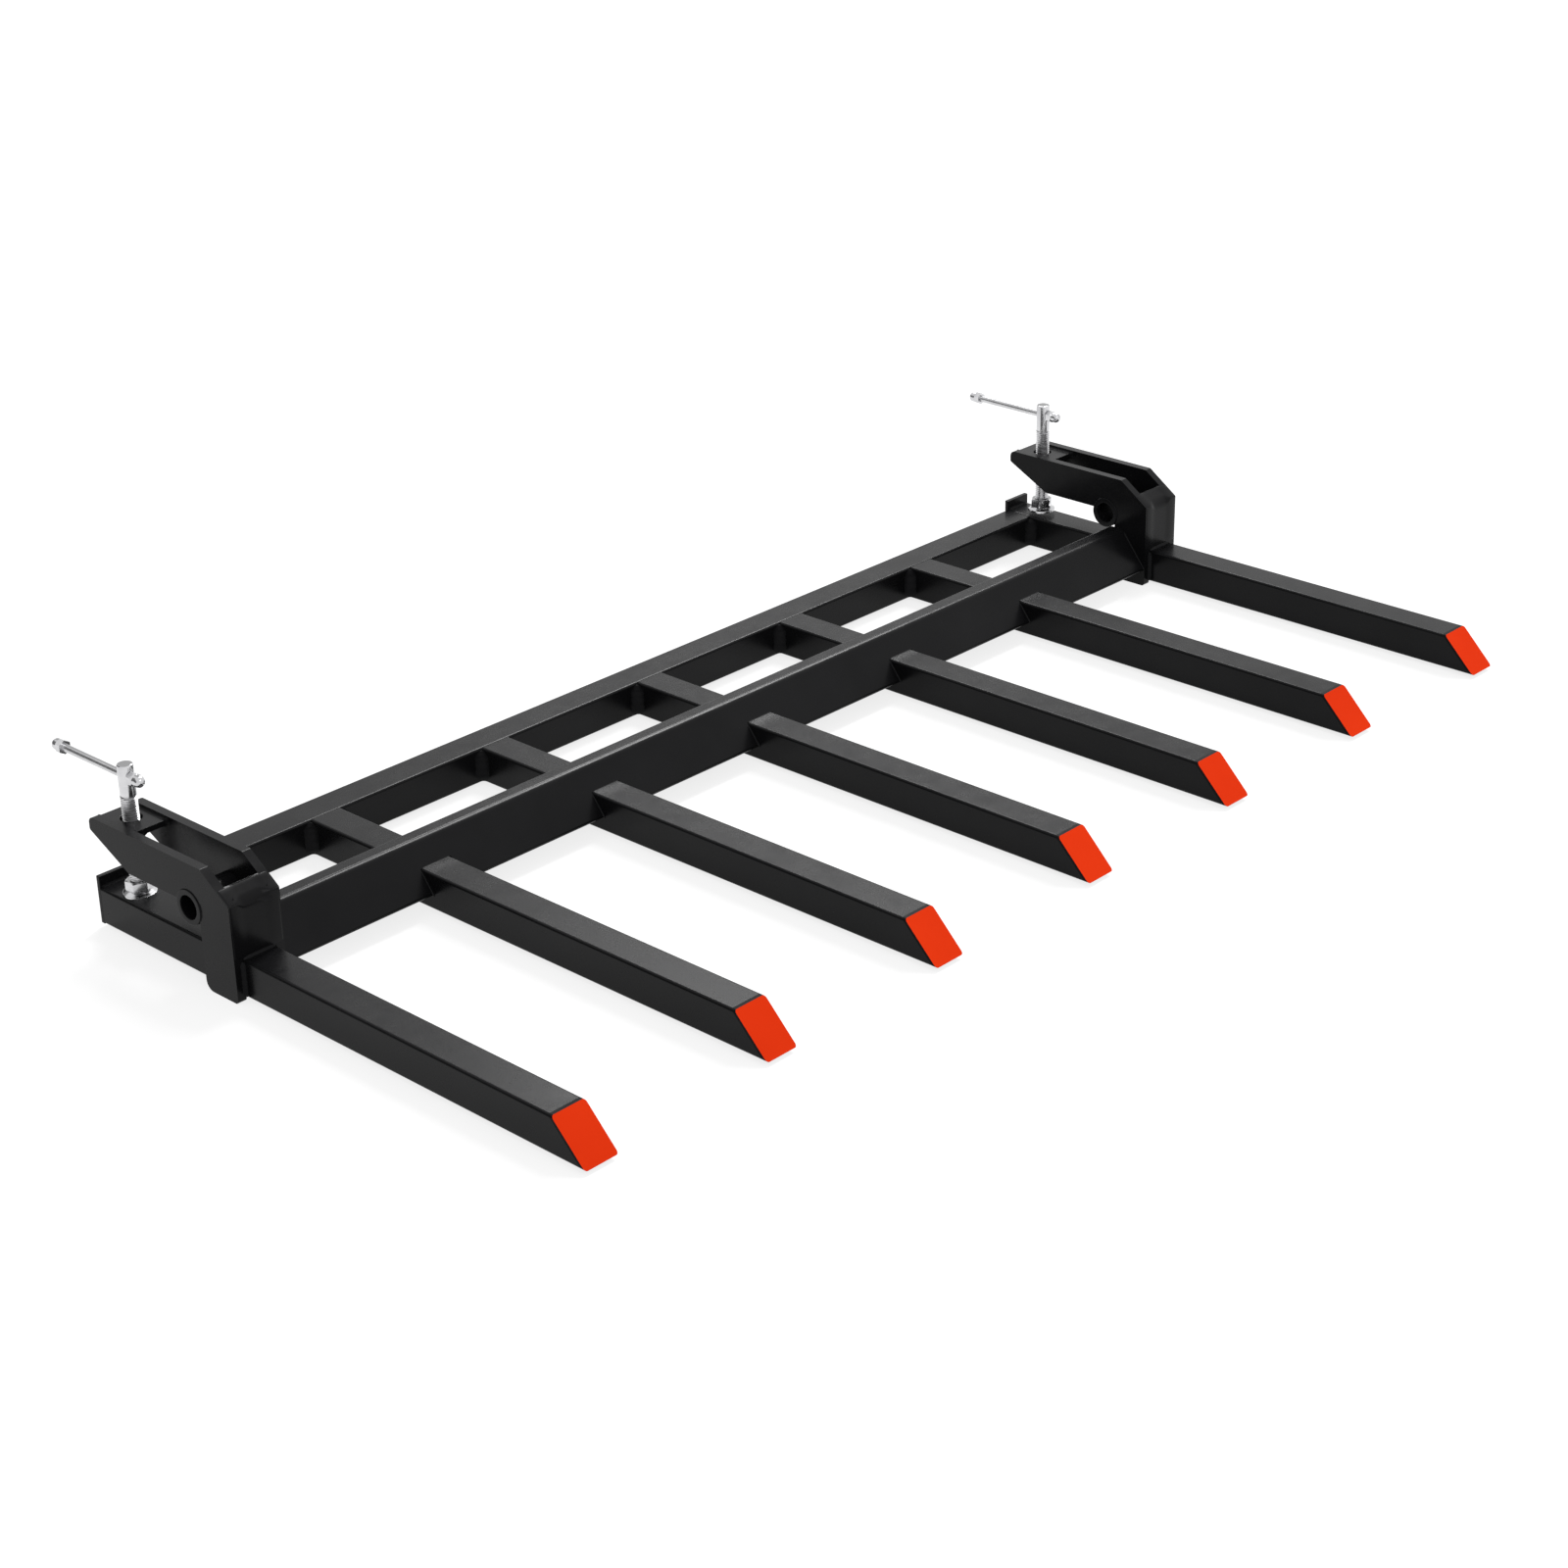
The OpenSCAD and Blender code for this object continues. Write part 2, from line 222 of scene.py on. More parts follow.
softbox("high_box", place=(4.95, 2.0, 7.25), aim=(0, 0, 0), wide=1.6, high=4.2, watts=620.0)
softbox("back_panel", place=(5.05, 4.75, 5.6), aim=(0, 0, 0), wide=2.2, high=1.8, watts=150.0)
softbox("front_fill", place=(-0.6, -4.2, 3.6), aim=(0, -0.2, 0), wide=2.4, high=1.6, watts=34.0)
print("lamps:", len(bpy.data.lights))

# %% [markdown]
# Bright plating on white paper loses its outline. Photographers stand a black card beside the set,
# out of the picture, and round bright parts mirror it as a dark line. Only gloss rays meet this one.

# %% Black card
CARD_GREY = 0.20
CARD_ROUGHNESS = 0.9
CARD_HIGH = 3.2
CARD_ENDS = ((-7.2, -0.6), (0.4, 6.8))
card_paint = bpy.data.materials.new("card_black")
card_paint.use_nodes = True
shader = card_paint.node_tree.nodes["Principled BSDF"]
shader.inputs["Base Color"].default_value = (CARD_GREY, CARD_GREY, CARD_GREY, 1.0)
shader.inputs["Roughness"].default_value = CARD_ROUGHNESS

(x1, y1), (x2, y2) = CARD_ENDS
card_corners = [(x1, y1, 0.0), (x2, y2, 0.0), (x2, y2, CARD_HIGH), (x1, y1, CARD_HIGH)]
card = flat_sheet("black_card", card_corners, card_paint)
card.visible_camera = False
card.visible_diffuse = False
card.visible_shadow = False
card.visible_transmission = False
print("card stands", CARD_HIGH, "m high")

# %% [markdown]
# ## Finishes
# The frame has a satin black powder coat, the tips are orange, and the screws, feet and bars are
# bright plated. Powder flows into a faint orange peel, and it looks a little uneven over a large
# face. That skin is shared by the black and the orange, so it is one node group: slow clouds change
# its tone, smaller ones its gloss, and the peel with a fine grit on it gives the relief.


# %% Helpers for node groups
def new_group(name, inputs, outputs):
    made = bpy.data.node_groups.new(name, "ShaderNodeTree")
    for title, kind, value in inputs:
        socket = made.interface.new_socket(title, in_out="INPUT", socket_type=kind)
        socket.default_value = value
    for title, kind in outputs:
        made.interface.new_socket(title, in_out="OUTPUT", socket_type=kind)
    return made, made.nodes.new("NodeGroupInput"), made.nodes.new("NodeGroupOutput")


def noise(tree, where, scale, detail):
    made = add_node(tree, "ShaderNodeTexNoise")
    made.inputs["Scale"].default_value = scale
    made.inputs["Detail"].default_value = detail
    tree.links.new(where, made.inputs["Vector"])
    return made.outputs["Fac"]


def remap(tree, value, span, low, high):
    """Takes a span of values to low and high, each a number or a socket."""
    made = add_node(tree, "ShaderNodeMapRange")
    made.inputs["From Min"].default_value, made.inputs["From Max"].default_value = span
    for name, end in (("To Min", low), ("To Max", high)):
        if isinstance(end, float):
            made.inputs[name].default_value = end
        else:
            tree.links.new(end, made.inputs[name])
    tree.links.new(value, made.inputs["Value"])
    return made.outputs["Result"]


SKIN_OUTPUTS = [
    ("Color", "NodeSocketColor"), ("Roughness", "NodeSocketFloat"), ("Height", "NodeSocketFloat")]
print("a skin gives", [title for title, kind in SKIN_OUTPUTS])

# %% Node group: the skin of a powder coat
CLOUD_SCALE, CLOUD_SPAN = 9.0, (0.35, 0.65)
GLOSS_SCALE, GLOSS_SPAN = 55.0, (0.3, 0.7)
PEEL_SCALE = 420.0
GRIT_SCALE, GRIT_SHARE = 2200.0, 0.25
coat_skin, given, gives = new_group(
    "coat_skin",
    [
        ("Deep tone", "NodeSocketColor", (0.0055, 0.0055, 0.0061, 1.0)),
        ("Light tone", "NodeSocketColor", (0.0088, 0.0088, 0.0095, 1.0)),
        ("Smoothest", "NodeSocketFloat", 0.22),
        ("Roughest", "NodeSocketFloat", 0.29),
    ],
    SKIN_OUTPUTS,
)
spot = add_node(coat_skin, "ShaderNodeTexCoord").outputs["Object"]
clouds = remap(coat_skin, noise(coat_skin, spot, CLOUD_SCALE, detail=3.0), CLOUD_SPAN, 0.0, 1.0)
peel = noise(coat_skin, spot, PEEL_SCALE, detail=1.0)
grit = noise(coat_skin, spot, GRIT_SCALE, detail=0.0)
tone = add_node(coat_skin, "ShaderNodeMix", data_type="RGBA")
coat_skin.links.new(clouds, tone.inputs["Factor"])
coat_skin.links.new(given.outputs["Deep tone"], tone.inputs["A"])
coat_skin.links.new(given.outputs["Light tone"], tone.inputs["B"])
coat_skin.links.new(tone.outputs["Result"], gives.inputs["Color"])
patches = noise(coat_skin, spot, GLOSS_SCALE, detail=2.0)
gloss = remap(coat_skin, patches, GLOSS_SPAN, given.outputs["Smoothest"], given.outputs["Roughest"])
coat_skin.links.new(gloss, gives.inputs["Roughness"])
mixed = add_node(coat_skin, "ShaderNodeMath", operation="MULTIPLY_ADD")
coat_skin.links.new(grit, mixed.inputs[0])
mixed.inputs[1].default_value = GRIT_SHARE
coat_skin.links.new(peel, mixed.inputs[2])
coat_skin.links.new(mixed.outputs[0], gives.inputs["Height"])
print("coat skin:", [s.name for s in coat_skin.interface.items_tree])

# %% [markdown]
# A plated screw keeps the fine rings that the lathe left under its plating. The rings run round the
# piece, so the group squeezes its noise along the axis that it is given. A sawn end is duller than a
# turned side, but the darker tone on every face that looks straight up is painted shade: it dims the lamps
# those faces mirror.

# %% Node group: turning marks under bright plating
HAZE_SCALE, HAZE_SPAN = 70.0, (0.30, 0.70)
RING_SPAN = (0.3, 0.7)
# Painted shade: faces whose normal looks straight up take a darker tone that dims the lamps they mirror.
TOP_SHADE_SPAN = (0.90, 0.98)
turned_skin, given, gives = new_group(
    "turned_skin",
    [
        ("Stretch", "NodeSocketVector", (25.0, 25.0, 1500.0)),
        ("Bright tone", "NodeSocketColor", (0.66, 0.66, 0.67, 1.0)),
        ("Dull tone", "NodeSocketColor", (0.54, 0.54, 0.555, 1.0)),
        ("Painted top shade", "NodeSocketColor", (0.30, 0.30, 0.305, 1.0)),
        ("Smoothest", "NodeSocketFloat", 0.12),
        ("Roughest", "NodeSocketFloat", 0.26),
    ],
    SKIN_OUTPUTS,
)
spot = add_node(turned_skin, "ShaderNodeTexCoord").outputs["Object"]
stretched = add_node(turned_skin, "ShaderNodeVectorMath", operation="MULTIPLY")
turned_skin.links.new(spot, stretched.inputs[0])
turned_skin.links.new(given.outputs["Stretch"], stretched.inputs[1])
rings = noise(turned_skin, stretched.outputs[0], scale=1.0, detail=2.0)
haze = remap(turned_skin, noise(turned_skin, spot, HAZE_SCALE, detail=2.0), HAZE_SPAN, 0.0, 1.0)
tone = add_node(turned_skin, "ShaderNodeMix", data_type="RGBA")
turned_skin.links.new(haze, tone.inputs["Factor"])
turned_skin.links.new(given.outputs["Bright tone"], tone.inputs["A"])
turned_skin.links.new(given.outputs["Dull tone"], tone.inputs["B"])
# Painted shade: this mask darkens every face that looks straight up, to dim the lamps mirrored in it.
upward = add_node(turned_skin, "ShaderNodeSeparateXYZ")
turned_skin.links.new(add_node(turned_skin, "ShaderNodeTexCoord").outputs["Normal"], upward.inputs[0])
shaded_top = remap(turned_skin, upward.outputs["Z"], TOP_SHADE_SPAN, 0.0, 1.0)
top_shade_mix = add_node(turned_skin, "ShaderNodeMix", data_type="RGBA")
turned_skin.links.new(shaded_top, top_shade_mix.inputs["Factor"])
turned_skin.links.new(tone.outputs["Result"], top_shade_mix.inputs["A"])
turned_skin.links.new(given.outputs["Painted top shade"], top_shade_mix.inputs["B"])
turned_skin.links.new(top_shade_mix.outputs["Result"], gives.inputs["Color"])
gloss = remap(turned_skin, rings, RING_SPAN, given.outputs["Smoothest"], given.outputs["Roughest"])
turned_skin.links.new(gloss, gives.inputs["Roughness"])
turned_skin.links.new(rings, gives.inputs["Height"])
print("turned skin:", [s.name for s in turned_skin.interface.items_tree])


# %% Build a material from one of the skins
def skinned(name, group, values, metallic, specular, bump, depth):
    made = bpy.data.materials.new(name)
    made.use_nodes = True
    tree = made.node_tree
    shader = tree.nodes["Principled BSDF"]
    shader.inputs["Metallic"].default_value = metallic
    shader.inputs["Specular IOR Level"].default_value = specular
    skin = add_node(tree, "ShaderNodeGroup", node_tree=group)
    for title, value in values.items():
        skin.inputs[title].default_value = value
    relief = add_node(tree, "ShaderNodeBump")
    relief.inputs["Strength"].default_value = bump
    relief.inputs["Distance"].default_value = depth
    tree.links.new(skin.outputs["Color"], shader.inputs["Base Color"])
    tree.links.new(skin.outputs["Roughness"], shader.inputs["Roughness"])
    tree.links.new(skin.outputs["Height"], relief.inputs["Height"])
    tree.links.new(relief.outputs["Normal"], shader.inputs["Normal"])
    return made


print("skins to build from:", coat_skin.name, turned_skin.name)

# %% [markdown]
# The black takes the coat skin as it is. Over a weld the powder lies on a rough bead, so its gloss is
# more spread and its relief is deeper. The orange is a duller paint.

# %% Powder coat and paint
black_coat = skinned(
    "black_powder_coat", coat_skin, {}, metallic=0.0, specular=0.105, bump=0.06, depth=0.06 * mm)
weld_coat = skinned(
    "coated_weld",
    coat_skin,
    {"Deep tone": (0.008, 0.008, 0.009, 1.0), "Smoothest": 0.34, "Roughest": 0.44},
    metallic=0.0,
    specular=0.07,
    bump=0.25,
    depth=0.10 * mm,
)
orange_coat = skinned(
    "orange_tip_paint",
    coat_skin,
    {
        "Deep tone": (0.84, 0.036, 0.002, 1.0),
        "Light tone": (0.90, 0.042, 0.003, 1.0),
        "Smoothest": 0.48,
        "Roughest": 0.58,
    },
    metallic=0.0,
    specular=0.05,
    bump=0.2,
    depth=0.1 * mm,
)
print("coats:", black_coat.name, weld_coat.name, orange_coat.name)

# %% [markdown]
# Three kinds of bright plating: on the plain round parts, on the threads, where it is paler and its
# gloss is more spread, and on the sliding bars, which lie along Y and are a little duller.

# %% Bright plating
bright_plating = skinned(
    "bright_plating", turned_skin, {}, metallic=1.0, specular=0.5, bump=0.04, depth=0.02 * mm)
thread_plating = skinned(
    "thread_plating",
    turned_skin,
    {
        "Bright tone": (0.72, 0.72, 0.73, 1.0),
        "Dull tone": (0.60, 0.60, 0.61, 1.0),
        "Smoothest": 0.24,
        "Roughest": 0.34,
    },
    metallic=1.0,
    specular=0.5,
    bump=0.04,
    depth=0.02 * mm,
)
bar_plating = skinned(
    "bar_plating",
    turned_skin,
    {
        "Stretch": (25.0, 900.0, 25.0),
        "Bright tone": (0.60, 0.60, 0.61, 1.0),
        "Dull tone": (0.50, 0.50, 0.51, 1.0),
        "Smoothest": 0.22,
        "Roughest": 0.32,
    },
    metallic=1.0,
    specular=0.5,
    bump=0.03,
    depth=0.02 * mm,
)
print("plating:", bright_plating.name, thread_plating.name, bar_plating.name)

# %% [markdown]
# The orange was sprayed on the cut faces alone: the rims of the end plates are as black as the tubes.
# A face counts as cut when its normal agrees with the slanted cut.

# %% Keep the orange on the cut faces
TIP_CUT = math.radians(45)
SPRAY_SPAN = (0.86, 0.93)
RIM_BLACK = (0.009, 0.009, 0.0095, 1.0)
tree = orange_coat.node_tree
facing = add_node(tree, "ShaderNodeVectorMath", operation="DOT_PRODUCT")
facing.inputs[1].default_value = (0.0, -math.sin(TIP_CUT), math.cos(TIP_CUT))
tree.links.new(add_node(tree, "ShaderNodeTexCoord").outputs["Normal"], facing.inputs[0])
sprayed = remap(tree, facing.outputs["Value"], SPRAY_SPAN, 0.0, 1.0)
paint = add_node(tree, "ShaderNodeMix", data_type="RGBA")
shader = tree.nodes["Principled BSDF"]
skin = shader.inputs["Base Color"].links[0].from_socket
tree.links.new(sprayed, paint.inputs["Factor"])
paint.inputs["A"].default_value = RIM_BLACK
tree.links.new(skin, paint.inputs["B"])
tree.links.new(paint.outputs["Result"], shader.inputs["Base Color"])
print("materials:", len(bpy.data.materials))

# %% [markdown]
# ## Rounded edges
# The plates are cut from the solids with sharp edges. Real plates have a small round where the coat
# builds up, and it catches the light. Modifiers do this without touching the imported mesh: the copies
# of each edge are welded, sharp edges get a narrow bevel, and the normals are weighted by area.

# %% A modifier that shades every face smooth
smooth_faces = bpy.data.node_groups.new("smooth_faces", "GeometryNodeTree")
for way in ("INPUT", "OUTPUT"):
    smooth_faces.interface.new_socket("Geometry", in_out=way, socket_type="NodeSocketGeometry")
start = smooth_faces.nodes.new("NodeGroupInput")
shade = smooth_faces.nodes.new("GeometryNodeSetShadeSmooth")
end = smooth_faces.nodes.new("NodeGroupOutput")
smooth_faces.links.new(start.outputs[0], shade.inputs["Geometry"])
smooth_faces.links.new(shade.outputs["Geometry"], end.inputs[0])
print("smooth_faces has", len(smooth_faces.nodes), "nodes")

# %% Round the edges of every node and give it its finish
SAME_EDGE = 0.005 * mm
SHARP = math.radians(30)
ROUND_STEPS = 3


def dress(node, material, width):
    thing = nodes[node]
    thing.data.materials.clear()
    thing.data.materials.append(material)
    weld = thing.modifiers.new("weld", "WELD")
    weld.merge_threshold = SAME_EDGE
    smooth = thing.modifiers.new("smooth", "NODES")
    smooth.node_group = smooth_faces
    bevel = thing.modifiers.new("round", "BEVEL")
    bevel.width = width
    bevel.segments = ROUND_STEPS
    bevel.limit_method = "ANGLE"
    bevel.angle_limit = SHARP
    weighted = thing.modifiers.new("shade", "WEIGHTED_NORMAL")
    weighted.keep_sharp = False


for node in nodes:
    if node.startswith("tine_cap"):
        dress(node, orange_coat, width=0.5 * mm)
    elif node.endswith(("swivel_foot", "bar_nuts")):
        dress(node, bright_plating, width=0.35 * mm)
    elif node.endswith("handle_bar"):
        dress(node, bar_plating, width=0.3 * mm)
    elif node.endswith("cheek"):
        dress(node, black_coat, width=1.0 * mm)
    elif node.endswith(("plate", "stop", "sleeve", "nut")):
        dress(node, black_coat, width=0.7 * mm)
    else:
        dress(node, black_coat, width=0.3 * mm)
print("dressed", len(nodes), "nodes")

# %% [markdown]
# ## Clamp screws
# The solids have a plain cylinder where the thread is. A metric thread is a groove that climbs by its
# pitch in each turn, so the mesh is a strip with five points per pitch, wound round the axis. Its
# ends are clamped flat: points that meet there become one, and faces that fold onto each other go.
# Plain round shapes are made by turning an outline about the same axis.

# %% Turned shapes
TURNED_STEPS = 48


def ring_point(centre, radius, angle, height):
    return centre + Vector((radius * math.cos(angle), radius * math.sin(angle), height))


def turned(bm, outline, centre):
    """Revolves (radius, height) points in millimetres about the vertical through centre."""
    rows = []
    for radius, height in outline:
        steps = TURNED_STEPS if radius else 1
        rows.append([
            bm.verts.new(ring_point(centre, radius * mm, math.tau * k / TURNED_STEPS, height * mm))
            for k in range(steps)])
    for low, high in zip(rows, rows[1:]):
        for k in range(TURNED_STEPS):
            i = k + 1
            ring = [low[k % len(low)], low[i % len(low)], high[i % len(high)], high[k % len(high)]]
            bm.faces.new(list(dict.fromkeys(ring)))


print("turned shapes have", TURNED_STEPS, "sides")

# %% Cut threads
PITCH = 2.5 * mm
THREAD_OUTER = 8.48 * mm
THREAD_ROOT = 7.05 * mm
THREAD_SHAPE = (
    (THREAD_ROOT, 0.0), (THREAD_ROOT, 0.12), (THREAD_OUTER, 0.44), (THREAD_OUTER, 0.56), (THREAD_ROOT, 0.88))
THREAD_STEPS = 40
SAME_HEIGHT = 0.0001 * mm


def wound(bm, centre, bottom, top):
    """Right-hand thread between two heights, a closed body with flat ends."""
    turns = math.ceil((top - bottom) / PITCH) + 2
    made = {}

    def corner(radius, height, k):
        height = min(max(height, bottom), top)
        place = (radius, round(height / SAME_HEIGHT), k % THREAD_STEPS)
        if place not in made:
            angle = math.tau * (k % THREAD_STEPS) / THREAD_STEPS
            made[place] = bm.verts.new(ring_point(centre, radius, angle, height))
        return made[place]

    columns = []
    for k in range(turns * THREAD_STEPS + 1):
        foot = k / THREAD_STEPS
        columns.append([corner(r, bottom + PITCH * (foot + share - 1.0), k) for r, share in THREAD_SHAPE])
    rings = []
    for first, second in zip(columns, columns[1:]):
        for low in range(len(THREAD_SHAPE) - 1):
            rings.append((first[low], second[low], second[low + 1], first[low + 1]))
    for k in range(len(columns) - THREAD_STEPS - 1):
        above = k + THREAD_STEPS
        rings.append((columns[k][-1], columns[k + 1][-1], columns[above + 1][0], columns[above][0]))
    kept = {}
    for ring in rings:
        ring = list(dict.fromkeys(ring))
        if len(ring) > 2 and kept.pop(frozenset(ring), None) is None:
            kept[frozenset(ring)] = ring
    for ring in kept.values():
        bm.faces.new(ring)
    for height in (bottom, top):
        bm.faces.new([corner(THREAD_ROOT, height, k) for k in range(THREAD_STEPS)])


print("thread", round((THREAD_OUTER - THREAD_ROOT) / mm, 2), "mm deep")

# %% [markdown]
# Each new mesh goes into the scene the same way: its faces are turned outward, it gets its finish, and
# it is told which moving body of the imported model it belongs to.


# %% Put a mesh in the scene
def link_mesh(name, bm, material, body):
    mesh = bpy.data.meshes.new(name)
    bmesh.ops.recalc_face_normals(bm, faces=bm.faces)
    bm.to_mesh(mesh)
    bm.free()
    mesh.materials.append(material)
    thing = bpy.data.objects.new(name, mesh)
    bpy.context.scene.collection.objects.link(thing)
    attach(thing, body)
    return thing


def shade_by_angle(thing, degrees):
    for face in thing.data.polygons:
        face.use_smooth = True
    thing.data.set_sharp_from_angle(angle=math.radians(degrees))


print("mesh helpers ready: link_mesh, shade_by_angle")

# %% [markdown]
# The sliding bar passes through a cross hole with a countersink on each side. The hole is cut with a
# boolean from a turned cutter that lies along Y.


# %% Cut the cross hole
def cut(thing, cutter_bm):
    mesh = bpy.data.meshes.new("cutter")
    bmesh.ops.recalc_face_normals(cutter_bm, faces=cutter_bm.faces)
    cutter_bm.to_mesh(mesh)
    cutter_bm.free()
    cutter = bpy.data.objects.new("cutter", mesh)
    bpy.context.scene.collection.objects.link(cutter)
    step = thing.modifiers.new("cut", "BOOLEAN")
    step.operation = "DIFFERENCE"
    step.solver = "EXACT"
    step.object = cutter
    bpy.context.view_layer.update()
    result = bpy.data.meshes.new_from_object(thing.evaluated_get(bpy.context.evaluated_depsgraph_get()))
    thing.modifiers.clear()
    old = thing.data
    thing.data = result
    bpy.data.meshes.remove(old)
    bpy.data.objects.remove(cutter)


print("cutting helper ready: cut")

# %% [markdown]
# A screw stands with its pin in the swivel foot. From below, its outline is the pin, the core under
# the thread, a short neck and the plain head with its rounded rim. Heights are counted from the sole
# of the foot, and the hole's from its own middle.

# %% Make both screws
PIN_LOW = 4.3
BODY_OUTLINE = (
    (0, PIN_LOW), (5.7, PIN_LOW), (6.0, 4.6), (6.0, 16.0), (6.9, 16.0), (6.9, 105.8), (7.6, 106.0),
    (7.6, 107.0), (8.0, 107.1), (8.25, 107.5), (8.25, 138.4), (8.1, 139.2), (7.6, 139.8), (6.9, 140.0),
    (0, 140.0))
HOLE_OUTLINE = (
    (0, -14), (9.9, -14), (5.1, -8.2), (4.4, -7.4), (4.4, 7.4), (5.1, 8.2), (9.9, 14), (0, 14))
THREAD_LOW, THREAD_HIGH = 16.2 * mm, 105.9 * mm

for side in END_TINES:
    node = f"{side}_clamp_screw"
    low, high = lowest(node), highest(node)
    sole = low.z - PIN_LOW * mm
    centre = Vector(((low.x + high.x) / 2, (low.y + high.y) / 2, sole))
    bar_z = (lowest(f"{side}_handle_bar").z + highest(f"{side}_handle_bar").z) / 2 - sole

    bm = bmesh.new()
    turned(bm, BODY_OUTLINE, centre)
    core = link_mesh(f"{side}_screw_body", bm, bright_plating, f"{side}_screw")
    drill = bmesh.new()
    turned(drill, HOLE_OUTLINE, Vector())
    along_bar = Matrix.Translation(centre + Vector((0, 0, bar_z))) @ Matrix.Rotation(math.pi / 2, 4, "X")
    bmesh.ops.transform(drill, matrix=along_bar, verts=drill.verts)
    cut(core, drill)
    shade_by_angle(core, degrees=14)

    bm = bmesh.new()
    wound(bm, centre, THREAD_LOW, THREAD_HIGH)
    thread = link_mesh(f"{side}_screw_thread", bm, thread_plating, f"{side}_screw")
    shade_by_angle(thread, degrees=25)
    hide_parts(node)
    print(node, "thread faces:", len(thread.data.polygons), "body faces:", len(core.data.polygons))

# %% [markdown]
# ## Welds
# The joints are closed by fillet welds that the coat has softened. A fillet fills the corner between
# two faces: its section runs from one face to the other in a hollow curve, and two slow waves change
# its size a little along the joint. Each joint is a list of stations: the corner, and the way along
# each face. One function makes them all, so that every bead follows the solids.

# %% One fillet along a joint
HOLLOW = 0.30
CURVE_PULL = 0.6
CURVE_STEPS = 7
BEAD_STEP = 1.6 * mm
BEAD_EDGE_SUNK = 0.12 * mm
BEAD_ROOT_SUNK = 0.5 * mm
END_SIZE = 0.45
LEAST_STEPS = 4
SAME_LENGTH = 1e-9
SWELLS = ((0.05, 1900.0, 70.0), (0.04, 730.0, 31.0))


def fillet(bm, stations, leg):
    """Stations are (corner, way along face one, way along face two); leg is its size on each face."""
    spots = [(Vector(c), Vector(a).normalized(), Vector(b).normalized()) for c, a, b in stations]
    lengths = [0.0]
    for one, two in zip(spots, spots[1:]):
        lengths.append(lengths[-1] + (two[0] - one[0]).length)
    total = lengths[-1]
    count = max(LEAST_STEPS, round(total / BEAD_STEP))
    rows = []
    for k in range(count + 1):
        along = total * k / count
        passed = max(i for i in range(len(lengths)) if lengths[i] <= along + SAME_LENGTH)
        part = min(passed, len(spots) - 2)
        share = (along - lengths[part]) / (lengths[part + 1] - lengths[part])
        corner, first, second = (spots[part][i].lerp(spots[part + 1][i], share) for i in range(3))
        size = leg * min(1.0, END_SIZE + along / leg, END_SIZE + (total - along) / leg)
        wobble = 1.0
        for swell, along_rate, across_rate in SWELLS:
            wobble += swell * math.sin(along * along_rate + corner.x * across_rate)
        size *= wobble
        near = corner + first * size - second * BEAD_EDGE_SUNK
        far = corner + second * size - first * BEAD_EDGE_SUNK
        bend = corner + (first + second) * size * (0.5 - HOLLOW) * CURVE_PULL
        row = [corner - (first + second) * BEAD_ROOT_SUNK]
        for t in (i / CURVE_STEPS for i in range(CURVE_STEPS + 1)):
            row.append(near * (1 - t) ** 2 + bend * (2 * t * (1 - t)) + far * t ** 2)
        rows.append([bm.verts.new(point) for point in row])
    for one, two in zip(rows, rows[1:]):
        for i in range(len(one)):
            j = (i + 1) % len(one)
            bm.faces.new((one[i], one[j], two[j], two[i]))
    bm.faces.new(list(reversed(rows[0])))
    bm.faces.new(rows[-1])


def bead(bm, start, end, first, second, leg):
    """A straight fillet."""
    fillet(bm, [(start, first, second), (end, first, second)], leg)


def finish_welds(name, bm):
    thing = link_mesh(name, bm, weld_coat, "frame")
    shade_by_angle(thing, degrees=50)
    print(name, "faces:", len(thing.data.polygons))


print("bead rows every", BEAD_STEP / mm, "mm")

# %% [markdown]
# Wide fillets fill the upright corners of the windows. The front ends of the tines carry smaller ones
# where they leave the sloping face of the front rail: along the top, and down both sides. The front
# rail is butted on the inner cheeks, a plate's thickness in from the ends of the rear rail. A bead
# stops short of the tubes' rounded edges.

# %% Sizes of the rail welds
STRIP = 19 * mm
LEAN = 38 / 48
BEND_Y = CROSS_BACK - STRIP
CHEEK = 10 * mm
EDGE_GAP = 2.5 * mm
BEAD_LOW, BEAD_HIGH = GROUND + 1.5 * mm, TUBE_TOP - EDGE_GAP
CROSS_BEAD_LOW = CROSS_LOW + 2 * mm
TINE_SIDE_LOW = CROSS_LOW + 1.0 * mm
RAIL_END_HIGH, RAIL_END_LOW = CROSS_TOP - 4 * mm, CROSS_LOW + 3 * mm
LEFTWARD, RIGHTWARD = (-1, 0, 0), (1, 0, 0)
FORWARD, BACKWARD, UPWARD = (0, -1, 0), (0, 1, 0), (0, 0, 1)
UP_SLOPE = Vector((0, LEAN, 1)).normalized()
REAR_LEG = 10.5 * mm
CROSS_LEG = 7.0 * mm
TINE_SIDE_LEG = 1.4 * mm
TINE_TOP_LEG = 1.5 * mm
TINE_BACK_LEG = 2.5 * mm
RAIL_END_LEG = 1.3 * mm


def on_slope(x, z):
    """The point of the front rail's sloping face at x and z."""
    return (x, BEND_Y - (CROSS_TOP - z) * LEAN, z)


print("the sloping face leans", round(math.degrees(math.atan(LEAN)), 1), "degrees from upright")

